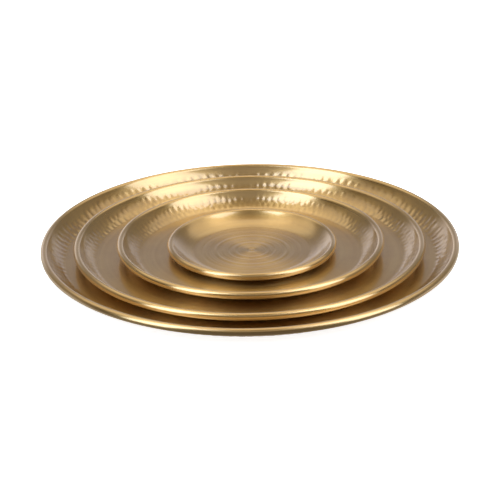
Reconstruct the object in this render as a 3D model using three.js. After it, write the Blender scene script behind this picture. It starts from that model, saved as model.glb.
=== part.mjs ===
// Nesting set of four round brass serving trays. Millimetres, +Z up, the set stands on z = 0.
// Each tray is a pan of hammered sheet, with a flat floor, a flared wall and a rim that is rolled
// outward round a steel stiffening wire. The pans stand loose in one another, floor on floor.
import * as THREE from 'three';

const SHEET = 1; // thickness of the brass sheet
const BEAD_RADIUS = 4.4; // outside radius of the rolled rim
const CLEARANCE = 0.4; // left between pieces that touch
const BEND_RADIUS = 10; // where the wall turns up from the floor
const BEND_STEPS = 2;
const WALL_STEPS = 2;
const CREST_STEPS = 2; // of the roll, from the wall to its top
const ROLL_STEPS = 8; // of the roll, from its top to its free edge
const WIRE_SIDES = 6;
const TOP = THREE.MathUtils.degToRad(90);
const ROLL_SWEEP = THREE.MathUtils.degToRad(-240); // from the top out, down and back under

// radius: outside of the rim. depth: from the floor's top face to the centre of the roll.
// lowSlope, highSlope: the wall's slope in degrees beside the floor and beside the roll, which it
// runs into without a crease. shift: how far the tray stands off centre.
const TRAYS = [
  { name: 'largest', radius: 250, depth: 15.4, lowSlope: 30, highSlope: 60,
    shift: [0, 0], segments: 56, colour: 0x8f7547 },
  { name: 'second', radius: 210.5, depth: 13.3, lowSlope: 30, highSlope: 60,
    shift: [-0.5, -0.1], segments: 56, colour: 0x8a6f4a },
  { name: 'third', radius: 160, depth: 14, lowSlope: 28, highSlope: 60,
    shift: [0.7, -0.4], segments: 48, colour: 0x8f7652 },
  { name: 'smallest', radius: 101.5, depth: 8.6, lowSlope: 9, highSlope: 44,
    shift: [2.4, 0.2], segments: 40, colour: 0xa3814f },
];

// Points of an arc round centre, from angle start through sweep, both ends included.
function arcPoints(centre, radius, start, sweep, steps) {
  const points = [];
  for (let i = 0; i <= steps; i += 1) {
    const angle = start + (sweep * i) / steps;
    const spoke = new THREE.Vector2(Math.cos(angle), Math.sin(angle));
    points.push(centre.clone().addScaledVector(spoke, radius));
  }
  return points;
}

// Shallow arc from one point to another, given the angle by which its slope turns on the way.
function bulgedPoints(from, to, turn, steps) {
  const chord = to.clone().sub(from);
  const radius = chord.length() / (2 * Math.sin(turn / 2));
  const middle = from.clone().add(to).multiplyScalar(0.5);
  const across = new THREE.Vector2(-chord.y, chord.x).normalize();
  const centre = middle.addScaledVector(across, radius * Math.cos(turn / 2));
  const start = Math.atan2(from.y - centre.y, from.x - centre.x);
  return arcPoints(centre, radius, start, turn, steps);
}

// The line moved sideways to its left, with mitred corners, its ends moved square to it.
function offsetLine(points, distance) {
  return points.map((point, i) => {
    const before = points[Math.max(i - 1, 0)];
    const after = points[Math.min(i + 1, points.length - 1)];
    const along = i === 0 ? after.clone().sub(point) : point.clone().sub(before);
    const onward = i === points.length - 1 ? along.clone() : after.clone().sub(point);
    along.normalize();
    onward.normalize();
    const mitre = new THREE.Vector2(-along.y - onward.y, along.x + onward.x).normalize();
    const square = new THREE.Vector2(-along.y, along.x);
    return point.clone().addScaledVector(mitre, distance / mitre.dot(square));
  });
}

// Middle line of the sheet from the axis to the free edge of the roll: x is radius, y is height
// above the underside of the floor.
function sheetLine(tray) {
  const floorHeight = SHEET / 2;
  const low = THREE.MathUtils.degToRad(tray.lowSlope);
  const high = THREE.MathUtils.degToRad(tray.highSlope);
  const rollCentre = new THREE.Vector2(tray.radius - BEAD_RADIUS, SHEET + tray.depth);
  const crest = arcPoints(rollCentre, BEAD_RADIUS - SHEET / 2, TOP + high, -high, CREST_STEPS);
  const roll = arcPoints(rollCentre, BEAD_RADIUS - SHEET / 2, TOP, ROLL_SWEEP, ROLL_STEPS);
  const bendTop = floorHeight + BEND_RADIUS * (1 - Math.cos(low));
  const wallRun = (crest[0].y - bendTop) / Math.tan((low + high) / 2);
  const bendCentre = new THREE.Vector2(
    crest[0].x - wallRun - BEND_RADIUS * Math.sin(low),
    floorHeight + BEND_RADIUS,
  );
  const bend = arcPoints(bendCentre, BEND_RADIUS, -TOP, low, BEND_STEPS);
  const wall = bulgedPoints(bend.at(-1), crest[0], high - low, WALL_STEPS);
  const axis = new THREE.Vector2(0, floorHeight);
  return [axis, ...bend, ...wall.slice(1, -1), ...crest, ...roll.slice(1)];
}

// A profile in radius and height turned round the Z axis.
function turned(profile, segments) {
  const geometry = new THREE.LatheGeometry(profile, segments);
  geometry.rotateX(Math.PI / 2);
  return geometry;
}

function panMesh(tray) {
  const middle = sheetLine(tray);
  const underside = offsetLine(middle, -SHEET / 2);
  const topside = offsetLine(middle, SHEET / 2);
  const brass = new THREE.MeshStandardMaterial({
    name: 'aged_brass', color: tray.colour, roughness: 0.35, metalness: 1,
  });
  const mesh = new THREE.Mesh(turned([...underside, ...topside.reverse()], tray.segments), brass);
  mesh.name = `${tray.name}_tray_pan`;
  return mesh;
}

function wireMesh(tray) {
  const centre = new THREE.Vector2(tray.radius - BEAD_RADIUS, SHEET + tray.depth);
  const radius = BEAD_RADIUS - SHEET - CLEARANCE;
  const section = arcPoints(centre, radius, 0, 2 * Math.PI, WIRE_SIDES);
  section[WIRE_SIDES].copy(section[0]);
  const steel = new THREE.MeshStandardMaterial({
    name: 'wire_steel', color: 0x6f6d69, roughness: 0.5, metalness: 1,
  });
  const mesh = new THREE.Mesh(turned(section, tray.segments), steel);
  mesh.name = `${tray.name}_tray_rim_wire`;
  return mesh;
}

const set = new THREE.Group();
TRAYS.forEach((tray, level) => {
  const whole = new THREE.Group();
  whole.add(panMesh(tray), wireMesh(tray));
  whole.position.set(tray.shift[0], tray.shift[1], level * (SHEET + CLEARANCE));
  set.add(whole);
});

export default set;
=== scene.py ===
"""Nesting set of four hammered brass trays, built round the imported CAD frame. Metres, +Z up.

Each tray is one closed sheet: a brushed floor, a flared wall with real hammer marks, and a rim rolled
outward round a steel wire. Places and sizes come from the frame's boxes; what the boxes don't say,
such as the sheet's thickness and the wall's slopes, is named below.
"""

import math

import bpy
import numpy as np
from mathutils import Matrix, Vector


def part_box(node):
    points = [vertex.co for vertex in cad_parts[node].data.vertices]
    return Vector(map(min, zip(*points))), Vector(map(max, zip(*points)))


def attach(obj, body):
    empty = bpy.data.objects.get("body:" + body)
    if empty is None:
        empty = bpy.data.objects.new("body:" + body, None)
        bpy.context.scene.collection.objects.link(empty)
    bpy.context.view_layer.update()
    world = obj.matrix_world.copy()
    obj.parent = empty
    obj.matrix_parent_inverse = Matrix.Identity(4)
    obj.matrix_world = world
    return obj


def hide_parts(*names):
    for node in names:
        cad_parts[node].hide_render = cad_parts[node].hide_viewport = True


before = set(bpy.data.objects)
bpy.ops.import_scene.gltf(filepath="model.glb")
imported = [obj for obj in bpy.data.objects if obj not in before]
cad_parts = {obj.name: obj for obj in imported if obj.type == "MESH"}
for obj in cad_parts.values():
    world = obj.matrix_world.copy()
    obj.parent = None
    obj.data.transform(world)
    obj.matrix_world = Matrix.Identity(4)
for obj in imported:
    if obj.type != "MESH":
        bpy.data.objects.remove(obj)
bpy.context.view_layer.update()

# ---------------------------------------------------------------- sizes of the trays

MM = 0.001
SHEET = 1.0 * MM
BEND_RADIUS = 10 * MM  # where the wall turns up from the floor
ROLL_SWEEP = math.radians(-240)  # from the roll's top to its free edge
EDGE_ROUND = 0.3  # share of the sheet's thickness by which the roll's free edge is rounded

# Mesh steps along the sheet's line and round the axis.
BEND_STEPS = 4
WALL_STEPS = 24
CREST_STEPS = 7
ROLL_STEPS = 20
SEGMENTS_PER_MARK = 9
WIRE_SIDES = 16
WIRE_SEGMENTS = 180

# low_slope, high_slope: the wall's slope in degrees beside the floor and beside the roll, as in the
# CAD. floor_step: mesh step along the floor. ring_depth: height of the spinning rings on the floor.
# marks: how many hammer marks go round one row. rows: each row of marks as its place up the wall
# (0 floor, 1 roll) and its sideways stagger in marks. marked: azimuths in degrees between which the
# wall is hammered. depth, length: of one mark. seed: of the random draws for the tray's marks.
ALL_ROUND = [(-180, 180)]

TRAYS = {
    "largest": dict(
        low_slope=30, high_slope=60, floor_step=1.7 * MM, ring_depth=0.006 * MM,
        marks=136, rows=[(0.18, 0.0), (0.52, 0.12)], marked=ALL_ROUND,
        depth=0.27 * MM, length=15 * MM, seed=11,
    ),
    "second": dict(
        low_slope=30, high_slope=60, floor_step=1.7 * MM, ring_depth=0.006 * MM,
        marks=134, rows=[(0.20, 0.0), (0.56, 0.5)], marked=ALL_ROUND,
        depth=0.21 * MM, length=12 * MM, seed=23,
    ),
    "third": dict(
        low_slope=28, high_slope=60, floor_step=1.7 * MM, ring_depth=0.006 * MM,
        marks=118, rows=[(0.22, 0.0), (0.60, 0.5)], marked=ALL_ROUND,
        depth=0.16 * MM, length=11 * MM, seed=37,
    ),
    "smallest": dict(
        low_slope=9, high_slope=44, floor_step=1.0 * MM, ring_depth=0.05 * MM,
        marks=56, rows=[(0.30, 0.0), (0.62, 0.5)], marked=[(-25, 20), (45, 80)],
        depth=0.05 * MM, length=12 * MM, seed=51,
    ),
}

# How hammer marks differ. Spreads are standard deviations; ranges are shares of the usual size.
SPREAD_ROUND = 0.09  # of the distance between marks
SPREAD_UP = 1.3 * MM
SPREAD_LEAN = 0.12  # sideways, by the length up the wall
DEPTH_RANGE = (0.55, 1.25)
LENGTH_RANGE = (0.75, 1.2)
HALF_WIDTH_RANGE = (0.38, 0.50)  # of the distance between marks
END_POWER = 2.6  # 2 makes a mark's ends round, and more makes them blunt
STAMP_REACH = 1.6  # half widths to each side over which a mark is worked out
MARKS_FROM = 0.97  # zone value beside the wall from which the sheet is hammered
DEPTH_BY_HEIGHT = 0.6  # most that a mark is deep, by the sheet's height above the floor

UNEVENNESS = 0.05 * MM  # of the wall and the roll, left by hand work
UNEVEN_WAVES = range(3, 14)  # how many waves of it go round the tray
UNEVEN_SEED = 100  # added to the tray's seed

RING_SPACINGS = [3.3 * MM, 4.6 * MM, 7.1 * MM, 11 * MM]
RING_FULL_SPACING = 7 * MM  # rings this far apart are as high as the tray's ring_depth
RING_END = 0.9  # zone value at which the rings end
RING_FADE = 0.15  # zone values over which they die away
RING_START = 3 * MM  # radius from which they have their full height
RING_SEED = 200  # added to the tray's seed


# ---------------------------------------------------------------- light, floor and camera

CAMERA_DISTANCE = 2.2
CAMERA_ELEVATION = math.radians(23.51)
CAMERA_ROLL = math.radians(1.08)  # to the left
CAMERA_LENS = 132.0  # in millimetres, for a sensor 36 wide
AIM_RIGHT = 0.1 * MM  # of the middle of the largest rim
AIM_BELOW = 10.4 * MM

FLOOR_HALF = 12.0
FLOOR_GAP = 0.5 * MM  # between the floor and the set, so that no two faces coincide

# Azimuths and elevations are in degrees; azimuth 0 is right and 90 behind. A colour is what a mirror
# would show of the light, white being 1.
SOFTBOXES = {
    "left_softbox": dict(
        azimuth=217, elevation=39, distance=2.2, width=1.05, height=2.9, colour=(2.50, 2.75, 3.00),
    ),
    "right_softbox": dict(
        azimuth=335, elevation=39, distance=2.2, width=1.30, height=2.9, colour=(2.00, 2.10, 2.20),
    ),
    "floor_light": dict(
        azimuth=90, elevation=80, distance=3.5, width=5.0, height=5.0, colour=(1.0, 1.0, 1.0),
    ),
}
UNSEEN_IN_METAL = ["floor_light"]

# What the metal mirrors of the room, as (height, colour) from the horizon (0) to straight up (1).
CEILING = [
    (0.63, (1.00, 0.87, 0.63)),
    (0.82, (1.05, 0.91, 0.66)),
    (0.88, (1.70, 1.39, 0.89)),
    (0.96, (1.70, 1.39, 0.89)),
    (1.00, (0.25, 0.21, 0.15)),
]
BACKDROP_LEFT = [
    (0.00, (1.00, 0.97, 1.02)),
    (0.20, (0.88, 0.85, 0.90)),
    (0.36, (0.45, 0.43, 0.46)),
    (0.45, (0.26, 0.24, 0.23)),
    (0.55, (0.26, 0.24, 0.22)),
] + CEILING
BACKDROP_RIGHT = [
    (0.00, (0.66, 0.64, 0.68)),
    (0.20, (0.62, 0.60, 0.63)),
    (0.36, (0.43, 0.41, 0.43)),
    (0.45, (0.26, 0.24, 0.23)),
    (0.55, (0.26, 0.24, 0.22)),
] + CEILING
BESIDE_BACKDROP = [
    (0.00, (0.22, 0.20, 0.16)),
    (0.36, (0.26, 0.23, 0.18)),
    (0.55, (0.28, 0.25, 0.20)),
] + CEILING
IN_FRONT = [
    (0.00, (0.08, 0.07, 0.06)),
    (0.54, (0.09, 0.08, 0.06)),
    (0.68, (0.55, 0.48, 0.37)),
    (0.84, (0.55, 0.48, 0.37)),
    (0.92, (0.22, 0.19, 0.14)),
    (1.00, (0.25, 0.21, 0.15)),
]
BELOW_BEHIND = (0.60, 0.57, 0.54, 1)
BELOW_IN_FRONT = (0.16, 0.14, 0.12, 1)

# Where one part of the room gives way to the next, along one axis of the direction looked in.
TO_LEFT_HALF = (0.15, -0.15)  # along X
PAST_LEFT_EDGE = (-0.70, -0.54)  # along X, on to the backdrop
PAST_RIGHT_EDGE = (0.60, 0.44)  # along X, on to the backdrop
TO_BEHIND = (-0.05, 0.30)  # along Y
PAST_HORIZON = (-0.01, 0.02)  # along Z, upwards


# ---------------------------------------------------------------- the line of the sheet


def arc(centre, radius, start, sweep, steps):
    """Points of an arc round centre, both ends included."""
    angles = start + sweep * np.arange(steps + 1) / steps
    return centre + radius * np.column_stack([np.cos(angles), np.sin(angles)])


def bulged(a, b, turn, steps):
    """Points of the shallow arc from a to b whose slope turns by that angle on the way."""
    chord = b - a
    length = np.hypot(*chord)
    radius = length / (2 * math.sin(turn / 2))
    across = np.array([-chord[1], chord[0]]) / length
    centre = (a + b) / 2 + across * radius * math.cos(turn / 2)
    start = math.atan2(*(a - centre)[::-1])
    return arc(centre, radius, start, turn, steps)


def normals_left(line):
    """Unit vectors to the left of a line, at its points."""
    along = np.gradient(line, axis=0)
    along /= np.hypot(along[:, 0], along[:, 1])[:, None]
    return np.column_stack([-along[:, 1], along[:, 0]])


class Tray:
    """Sizes of one tray, from the frame and from TRAYS."""

    def __init__(self, name, facts):
        self.name = name
        self.facts = facts
        self.body = f"{name}_tray"
        self.pan_node = f"{name}_tray_pan"
        self.wire_node = f"{name}_tray_rim_wire"
        low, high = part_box(self.pan_node)
        wire_low, wire_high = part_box(self.wire_node)
        self.radius = (high.x - low.x) / 2
        self.centre = Vector(((low.x + high.x) / 2, (low.y + high.y) / 2, low.z))
        self.roll_height = (wire_low.z + wire_high.z) / 2 - low.z
        self.roll_radius = high.z - low.z - self.roll_height
        self.wire_radius = (wire_high.x - wire_low.x) / 2 - (self.radius - self.roll_radius)
        self.segments = facts["marks"] * SEGMENTS_PER_MARK

    def roll_centre(self):
        return np.array([self.radius - self.roll_radius, self.roll_height])


def sheet_line(tray):
    """Middle line of the sheet, axis to free edge, as radius and height, with each point's zone value.

    The zone value runs 0 to 1 over the floor, 1 to 2 up the wall and 2 to 3 round the roll.
    """
    low = math.radians(tray.facts["low_slope"])
    high = math.radians(tray.facts["high_slope"])
    floor_step = tray.facts["floor_step"]
    level = SHEET / 2
    top = math.pi / 2
    crest = arc(tray.roll_centre(), tray.roll_radius - SHEET / 2, top + high, -high, CREST_STEPS)
    roll = arc(tray.roll_centre(), tray.roll_radius - SHEET / 2, top, ROLL_SWEEP, ROLL_STEPS)
    bend_top = level + BEND_RADIUS * (1 - math.cos(low))
    wall_run = (crest[0][1] - bend_top) / math.tan((low + high) / 2)
    bend_start = crest[0][0] - wall_run - BEND_RADIUS * math.sin(low)
    bend = arc(np.array([bend_start, level + BEND_RADIUS]), BEND_RADIUS, -top, low, BEND_STEPS)
    wall = bulged(bend[-1], crest[0], high - low, WALL_STEPS)
    floor_radii = np.arange(floor_step, bend_start - floor_step / 2, floor_step)
    floor = np.column_stack([floor_radii, np.full_like(floor_radii, level)])
    line = np.vstack([floor, bend, wall[1:], crest[1:], roll[1:]])
    zone = np.concatenate([
        np.linspace(0, 1, len(floor) + len(bend)),
        np.linspace(1, 2, len(wall))[1:],
        np.linspace(2, 3, len(crest) + len(roll) - 1)[1:],
    ])
    return line, zone


# ---------------------------------------------------------------- marks of the hand work


def azimuths_of(segments):
    """Angles of the mesh's segments round the axis, in radians."""
    return 2 * math.pi * np.arange(segments) / segments


def in_ranges(azimuth, ranges):
    """Whether an azimuth in degrees lies in one of the ranges."""
    return any(low <= azimuth <= high for low, high in ranges)


def hammer_blows(facts, pitch, wall_length):
    """Each mark's azimuth, height up the wall, depth, half width, half length and lean."""
    random = np.random.default_rng(facts["seed"])
    for place, stagger in facts["rows"]:
        for k in range(facts["marks"]):
            turn = (k + stagger + random.normal(0, SPREAD_ROUND)) / facts["marks"]
            height = wall_length * place + random.normal(0, SPREAD_UP)
            depth = facts["depth"] * random.uniform(*DEPTH_RANGE)
            half_width = pitch * random.uniform(*HALF_WIDTH_RANGE)
            half_length = facts["length"] / 2 * random.uniform(*LENGTH_RANGE)
            lean = random.normal(0, SPREAD_LEAN)
            if in_ranges((360 * turn + 180) % 360 - 180, facts["marked"]):
                yield 2 * math.pi * turn, height, depth, half_width, half_length, lean


def hammer_field(tray, line, zone):
    """Depth of the hammer marks over the grid of line points and segments."""
    azimuths = azimuths_of(tray.segments)
    field = np.zeros((len(line), tray.segments))
    walls = np.flatnonzero((zone > MARKS_FROM) & (zone < 2))
    steps = np.hypot(*np.diff(line[walls], axis=0).T)
    up = np.concatenate([[0], np.cumsum(steps)])
    middle = line[walls].mean(axis=0)[0]
    pitch = 2 * math.pi * middle / tray.facts["marks"]
    for azimuth, height, depth, half_width, half_length, lean in hammer_blows(tray.facts, pitch, up[-1]):
        aside = (azimuths - azimuth + math.pi) % (2 * math.pi) - math.pi
        near = np.flatnonzero(np.abs(aside) * middle < half_width * STAMP_REACH)
        across = aside[near][None, :] * line[walls, 0][:, None]
        along = (up - height)[:, None] + across * lean
        reach = (across / half_width) ** 2 + np.abs(along / half_length) ** END_POWER
        window = np.ix_(walls, near)
        field[window] = np.maximum(field[window], depth * np.clip(1 - reach, 0, None))
    room = np.clip(line[:, 1] - SHEET / 2, 0, None) * DEPTH_BY_HEIGHT
    return np.minimum(field, room[:, None])


def unevenness(tray, line):
    """How far hand work has left the wall and the roll inside their true place, over the same grid."""
    random = np.random.default_rng(tray.facts["seed"] + UNEVEN_SEED)
    azimuths = azimuths_of(tray.segments)
    wobble = np.zeros(tray.segments)
    for waves in UNEVEN_WAVES:
        size = random.normal(0, 1 / waves)
        phase = random.uniform(0, 2 * math.pi)
        wobble += size * np.sin(waves * azimuths + phase)
    inward = wobble.max() - wobble
    share = np.clip((line[:, 1] - SHEET) / (tray.roll_height - SHEET), 0, 1)
    return UNEVENNESS * share[:, None] * inward[None, :]


def ring_heights(tray, line, zone):
    """Height of the rings that spinning leaves on the floor's top side, at the line's points."""
    random = np.random.default_rng(tray.facts["seed"] + RING_SEED)
    radius = line[:, 0]
    height = np.zeros(len(line))
    for spacing in RING_SPACINGS:
        phase = random.uniform(0, 2 * math.pi)
        height += spacing / RING_FULL_SPACING * np.sin(2 * math.pi * radius / spacing + phase)
    fade = np.clip((RING_END - zone) / RING_FADE, 0, 1) * np.clip(radius / RING_START, 0, 1)
    return tray.facts["ring_depth"] * height * fade


# ---------------------------------------------------------------- meshes


def turned(radius, height, segments):
    """Rings of points, from grids of radius and height with one row for each ring."""
    azimuths = azimuths_of(segments)
    x = radius * np.cos(azimuths)
    y = radius * np.sin(azimuths)
    return np.stack([x, y, np.broadcast_to(height, x.shape)], axis=-1)


def ring_faces(rings, segments, closed):
    """Quads between neighbouring rings of points, and from the last to the first if closed."""
    ring = np.arange(segments)
    onward = (ring + 1) % segments
    faces = []
    for row in range(rings if closed else rings - 1):
        a = row * segments
        b = (row + 1) % rings * segments
        faces.append(np.column_stack([a + ring, a + onward, b + onward, b + ring]))
    return np.vstack(faces).tolist()


def mesh_object(name, vertices, faces, location, material):
    mesh = bpy.data.meshes.new(name)
    mesh.from_pydata(vertices.tolist(), [], faces)
    mesh.validate()
    mesh.shade_smooth()
    mesh.materials.append(material)
    piece = bpy.data.objects.new(name, mesh)
    piece.location = location
    bpy.context.scene.collection.objects.link(piece)
    return piece


def set_point_value(piece, name, values):
    """Stores one number per vertex, which a material can read."""
    attribute = piece.data.attributes.new(name, "FLOAT", "POINT")
    attribute.data.foreach_set("value", np.asarray(values, np.float32))


def make_pan(tray, material):
    """One closed sheet: its top side out to the roll's free edge, and its underside back to the axis."""
    segments = tray.segments
    line, zone = sheet_line(tray)
    left = normals_left(line)
    driven_in = hammer_field(tray, line, zone) + unevenness(tray, line)
    rings = ring_heights(tray, line, zone)

    def side(offset, relief):
        """The surface that far to the left of the sheet's middle line, driven in, with relief."""
        shift = offset - driven_in + relief
        radius = line[:, 0][:, None] + left[:, 0][:, None] * shift
        height = line[:, 1][:, None] + left[:, 1][:, None] * shift
        return turned(radius, height, segments)

    top = side(SHEET / 2, rings[:, None])
    under = side(-SHEET / 2, 0)[::-1]
    tip = (top[-1] + under[0]) / 2
    onward = (top[-1] - top[-2]) / np.linalg.norm(top[-1] - top[-2], axis=1)[:, None]
    free_edge = (tip + onward * SHEET * EDGE_ROUND)[None]
    surface = np.concatenate([top, free_edge, under])
    poles = np.array([[0, 0, SHEET], [0, 0, 0]])
    vertices = np.vstack([surface.reshape(-1, 3), poles])
    faces = ring_faces(len(surface), segments, closed=False)
    top_pole = len(vertices) - 2
    low_pole = len(vertices) - 1
    last = (len(surface) - 1) * segments
    for i in range(segments):
        j = (i + 1) % segments
        faces.append((top_pole, j, i))
        faces.append((low_pole, last + i, last + j))
    # The outline runs clockwise, so the faces are turned over to face out.
    faces = [tuple(reversed(face)) for face in faces]
    piece = mesh_object(f"{tray.name}_tray_sheet", vertices, faces, tray.centre, material)

    # One value for each vertex: the surface's rings, and then the two poles.
    zones = np.concatenate([zone, zone[-1:], zone[::-1]])
    set_point_value(piece, "zone", np.concatenate([np.repeat(zones, segments), [0, 0]]))
    deepest = max(facts["depth"] for facts in TRAYS.values())
    struck = np.concatenate([driven_in, driven_in[-1:], driven_in[::-1]]) / deepest
    set_point_value(piece, "struck", np.concatenate([struck.ravel(), [0, 0]]))
    return piece


def make_wire(tray, material):
    """The stiffening wire inside the roll."""
    section = arc(tray.roll_centre(), tray.wire_radius, 0, 2 * math.pi, WIRE_SIDES)[:-1]
    rings = turned(section[:, 0][:, None], section[:, 1][:, None], WIRE_SEGMENTS)
    faces = ring_faces(WIRE_SIDES, WIRE_SEGMENTS, closed=True)
    return mesh_object(f"{tray.name}_tray_wire", rings.reshape(-1, 3), faces, tray.centre, material)


# ---------------------------------------------------------------- materials


class Nodes:
    """Short forms for building the node tree of a material or of the world."""

    def __init__(self, owner, shader):
        owner.use_nodes = True
        self.tree = owner.node_tree
        self.shader = self.tree.nodes[shader]

    def node(self, kind, **settings):
        made = self.tree.nodes.new(kind)
        for key, value in settings.items():
            setattr(made, key, value)
        return made

    def feed(self, socket, value):
        """Links an output to the socket, or sets the socket to a plain value."""
        if isinstance(value, bpy.types.NodeSocket):
            self.tree.links.new(value, socket)
        else:
            socket.default_value = value

    def set(self, **values):
        """Feeds the shader's sockets, named with _ for each space."""
        for name, value in values.items():
            self.feed(self.shader.inputs[name.replace("_", " ")], value)

    def maths(self, operation, a, b=0.0, clamp=False):
        made = self.node("ShaderNodeMath", operation=operation, use_clamp=clamp)
        self.feed(made.inputs[0], a)
        self.feed(made.inputs[1], b)
        return made.outputs[0]

    def vector(self, operation, a, b=(0, 0, 0)):
        made = self.node("ShaderNodeVectorMath", operation=operation)
        self.feed(made.inputs[0], a)
        self.feed(made.inputs[1], b)
        return made.outputs["Value" if operation == "LENGTH" else "Vector"]

    def scaled(self, a, factor):
        made = self.node("ShaderNodeVectorMath", operation="SCALE")
        self.feed(made.inputs[0], a)
        self.feed(made.inputs["Scale"], factor)
        return made.outputs["Vector"]

    def along_z(self, value):
        made = self.node("ShaderNodeCombineXYZ")
        self.feed(made.inputs["Z"], value)
        return made.outputs["Vector"]

    def noise(self, where, scale, detail, roughness=0.5):
        made = self.node("ShaderNodeTexNoise")
        self.feed(made.inputs["Vector"], where)
        self.feed(made.inputs["Scale"], scale)
        self.feed(made.inputs["Detail"], detail)
        self.feed(made.inputs["Roughness"], roughness)
        return made.outputs["Fac"]

    def spread(self, value, low, high, to_low, to_high):
        """Takes low to high over to to_low to to_high, and nothing past them."""
        made = self.node("ShaderNodeMapRange", clamp=True)
        for socket, number in zip(made.inputs, (value, low, high, to_low, to_high)):
            self.feed(socket, number)
        return made.outputs["Result"]

    def mix(self, share, a, b):
        made = self.node("ShaderNodeMix", data_type="RGBA")
        self.feed(made.inputs["Factor"], share)
        self.feed(made.inputs["A"], a)
        self.feed(made.inputs["B"], b)
        return made.outputs["Result"]

    def ramp(self, value, stops):
        """Colour by value, given as (value, colour) stops."""
        made = self.node("ShaderNodeValToRGB")
        self.feed(made.inputs["Fac"], value)
        elements = made.color_ramp.elements
        while len(elements) < len(stops):
            elements.new(1.0)
        for element, (place, colour) in zip(elements, stops):
            element.position = place
            element.color = (*colour, 1)
        return made.outputs["Color"]

    def attribute(self, name):
        return self.node("ShaderNodeAttribute", attribute_name=name).outputs["Fac"]

    def object_place(self):
        return self.node("ShaderNodeTexCoord").outputs["Object"]


# The next, lightest brass is a painted highlight, mixed onto the roll.
BRASS_PAINTED_HIGHLIGHT = (0.80, 0.56, 0.24, 1)
BRASS_MAIN = (0.62, 0.42, 0.16, 1)
BRASS_BROWN = (0.42, 0.25, 0.10, 1)
STEEL = (0.42, 0.41, 0.40, 1)
STEEL_STAIN = (0.22, 0.17, 0.13, 1)
BRUSH_DEPTH = 0.05 * MM


def brushing(n, flat, round_axis, by_radius, detail):
    """Noise in circles: it changes slowly round the axis and quickly with the radius."""
    way = n.scaled(n.vector("NORMALIZE", flat), round_axis)
    outward = n.along_z(n.maths("MULTIPLY", n.vector("LENGTH", flat), by_radius))
    return n.noise(n.vector("ADD", way, outward), scale=1.0, detail=detail)


def aged_brass():
    """Antiqued yellow brass under thin lacquer, brushed in circles round the tray's axis."""
    material = bpy.data.materials.new("aged_brass")
    n = Nodes(material, "Principled BSDF")
    place = n.object_place()
    flat = n.vector("MULTIPLY", place, (1, 1, 0))
    zone = n.attribute("zone")
    struck = n.maths("MINIMUM", n.attribute("struck"), 1.0)
    fine = brushing(n, flat, round_axis=0.6, by_radius=700, detail=3)
    broad = brushing(n, flat, round_axis=0.35, by_radius=160, detail=2)
    mottle = n.noise(place, scale=22.0, detail=4, roughness=0.6)

    patina = n.spread(n.maths("ADD", mottle, n.maths("MULTIPLY", broad, 0.8)), 0.7, 1.15, 0.0, 0.45)
    patina = n.maths("ADD", patina, n.maths("MULTIPLY", struck, 0.25), clamp=True)  # darker hollows
    roll_highlight = n.spread(zone, 2.05, 2.2, 0.0, 0.4)  # painted highlight: the roll is made lighter
    n.set(Base_Color=n.mix(roll_highlight, n.mix(patina, BRASS_MAIN, BRASS_BROWN), BRASS_PAINTED_HIGHLIGHT))

    rough = n.spread(n.maths("ADD", fine, broad), 0.7, 1.3, 0.33, 0.43)
    polish = n.spread(zone, 1.0, 2.2, 0.0, 0.08)  # more of it towards the roll
    n.set(Roughness=n.maths("SUBTRACT", rough, polish))

    bump = n.node("ShaderNodeBump")
    height = n.maths("ADD", n.maths("MULTIPLY", fine, 0.7), n.maths("MULTIPLY", broad, 0.8))
    n.feed(bump.inputs["Height"], height)
    n.feed(bump.inputs["Strength"], n.spread(zone, 0.95, 1.15, 0.6, 0.35))
    n.feed(bump.inputs["Distance"], BRUSH_DEPTH)
    tangent = n.node("ShaderNodeTangent", direction_type="RADIAL", axis="Z")
    n.set(Normal=bump.outputs["Normal"], Tangent=tangent.outputs["Tangent"])

    n.set(Metallic=1.0, Anisotropic=0.82, Anisotropic_Rotation=0.25)
    n.set(Coat_Weight=1.0, Coat_Roughness=0.13, Coat_IOR=2.0)
    return material


def wire_steel():
    """Plain drawn steel, slightly stained."""
    material = bpy.data.materials.new("wire_steel")
    n = Nodes(material, "Principled BSDF")
    stain = n.noise(n.object_place(), scale=60.0, detail=4, roughness=0.6)
    n.set(Base_Color=n.mix(stain, STEEL, STEEL_STAIN))
    n.set(Roughness=n.spread(stain, 0.3, 0.7, 0.35, 0.6), Metallic=1.0)
    return material


def white_floor():
    """Matt white that glows a little, so that the set leaves no shadow on it."""
    material = bpy.data.materials.new("white_floor")
    n = Nodes(material, "Principled BSDF")
    n.set(Base_Color=(0.93, 0.93, 0.93, 1), Roughness=0.9, Specular_IOR_Level=0.0)
    n.set(Emission_Color=(1, 1, 1, 1), Emission_Strength=0.85)
    return material


# ---------------------------------------------------------------- the set and what is round it


def make_trays():
    brass = aged_brass()
    steel = wire_steel()
    for name, facts in TRAYS.items():
        tray = Tray(name, facts)
        for piece, node, slot in (
            (make_pan(tray, brass), tray.pan_node, "aged_brass"),
            (make_wire(tray, steel), tray.wire_node, "wire_steel"),
        ):
            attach(piece, tray.body)
            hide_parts(node)


def make_floor():
    """Plain white floor, just under the set and not mirrored by it."""
    corners = FLOOR_HALF * np.array([[-1, -1, 0], [1, -1, 0], [1, 1, 0], [-1, 1, 0]])
    floor = mesh_object("floor", corners, [(0, 1, 2, 3)], (0, 0, -FLOOR_GAP), white_floor())
    floor.visible_glossy = False


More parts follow.
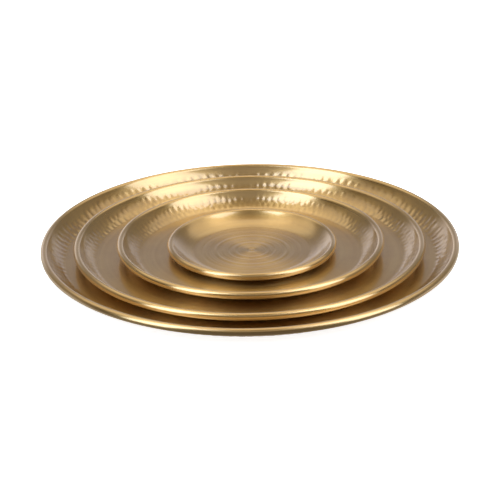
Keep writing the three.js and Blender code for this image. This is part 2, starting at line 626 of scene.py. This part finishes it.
def softbox(name, azimuth, elevation, distance, width, height, colour):
    """Soft light in that direction, facing the trays."""
    data = bpy.data.lights.new(name, "AREA")
    data.shape = "RECTANGLE"
    data.size = width
    data.size_y = height
    data.color = Vector(colour) / max(colour)
    data.energy = max(colour) * math.pi * width * height
    light = bpy.data.objects.new(name, data)
    across = math.cos(math.radians(elevation))
    way = Vector((
        across * math.cos(math.radians(azimuth)),
        across * math.sin(math.radians(azimuth)),
        math.sin(math.radians(elevation)),
    ))
    light.location = way * distance
    light.rotation_euler = way.to_track_quat("Z", "Y").to_euler()
    light.visible_glossy = name not in UNSEEN_IN_METAL
    bpy.context.scene.collection.objects.link(light)


def make_surroundings():
    """Pale backdrop behind the table, warm ceiling, dark studio in front and the table itself below."""
    world = bpy.data.worlds.new("studio")
    n = Nodes(world, "Background")
    split = n.node("ShaderNodeSeparateXYZ")
    n.feed(split.inputs[0], n.node("ShaderNodeTexCoord").outputs["Generated"])
    x = split.outputs["X"]
    y = split.outputs["Y"]
    height = split.outputs["Z"]
    left = n.spread(x, *TO_LEFT_HALF, 0.0, 1.0)
    inside_left = n.spread(x, *PAST_LEFT_EDGE, 0.0, 1.0)
    inside_right = n.spread(x, *PAST_RIGHT_EDGE, 0.0, 1.0)
    behind = n.spread(y, *TO_BEHIND, 0.0, 1.0)
    risen = n.spread(height, *PAST_HORIZON, 0.0, 1.0)
    backdrop = n.mix(left, n.ramp(height, BACKDROP_RIGHT), n.ramp(height, BACKDROP_LEFT))
    on_backdrop = n.maths("MULTIPLY", inside_left, inside_right)
    far = n.mix(on_backdrop, n.ramp(height, BESIDE_BACKDROP), backdrop)
    above = n.mix(behind, n.ramp(height, IN_FRONT), far)
    below = n.mix(behind, BELOW_IN_FRONT, BELOW_BEHIND)
    n.set(Color=n.mix(risen, below, above))
    bpy.context.scene.world = world


def make_camera():
    """Long lens, a little under 24 degrees above the table."""
    low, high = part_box("largest_tray_rim_wire")
    subject = Vector((0, 0, (low.z + high.z) / 2))
    back = Vector((0, -math.cos(CAMERA_ELEVATION), math.sin(CAMERA_ELEVATION)))
    right = Vector((1, 0, 0))
    place = subject + back * CAMERA_DISTANCE
    aim = subject + right * AIM_RIGHT - back.cross(right) * AIM_BELOW
    level_view = (aim - place).to_track_quat("-Z", "Y").to_matrix().to_4x4()
    data = bpy.data.cameras.new("camera")
    data.sensor_width = 36.0
    data.lens = CAMERA_LENS
    camera = bpy.data.objects.new("camera", data)
    camera.matrix_world = Matrix.Translation(place) @ level_view @ Matrix.Rotation(-CAMERA_ROLL, 4, "Z")
    bpy.context.scene.collection.objects.link(camera)
    bpy.context.scene.camera = camera


make_trays()
make_floor()
for name, facts in SOFTBOXES.items():
    softbox(name, **facts)
make_surroundings()
make_camera()
bpy.context.scene.view_settings.view_transform = "Standard"
bpy.context.scene.view_settings.look = "None"
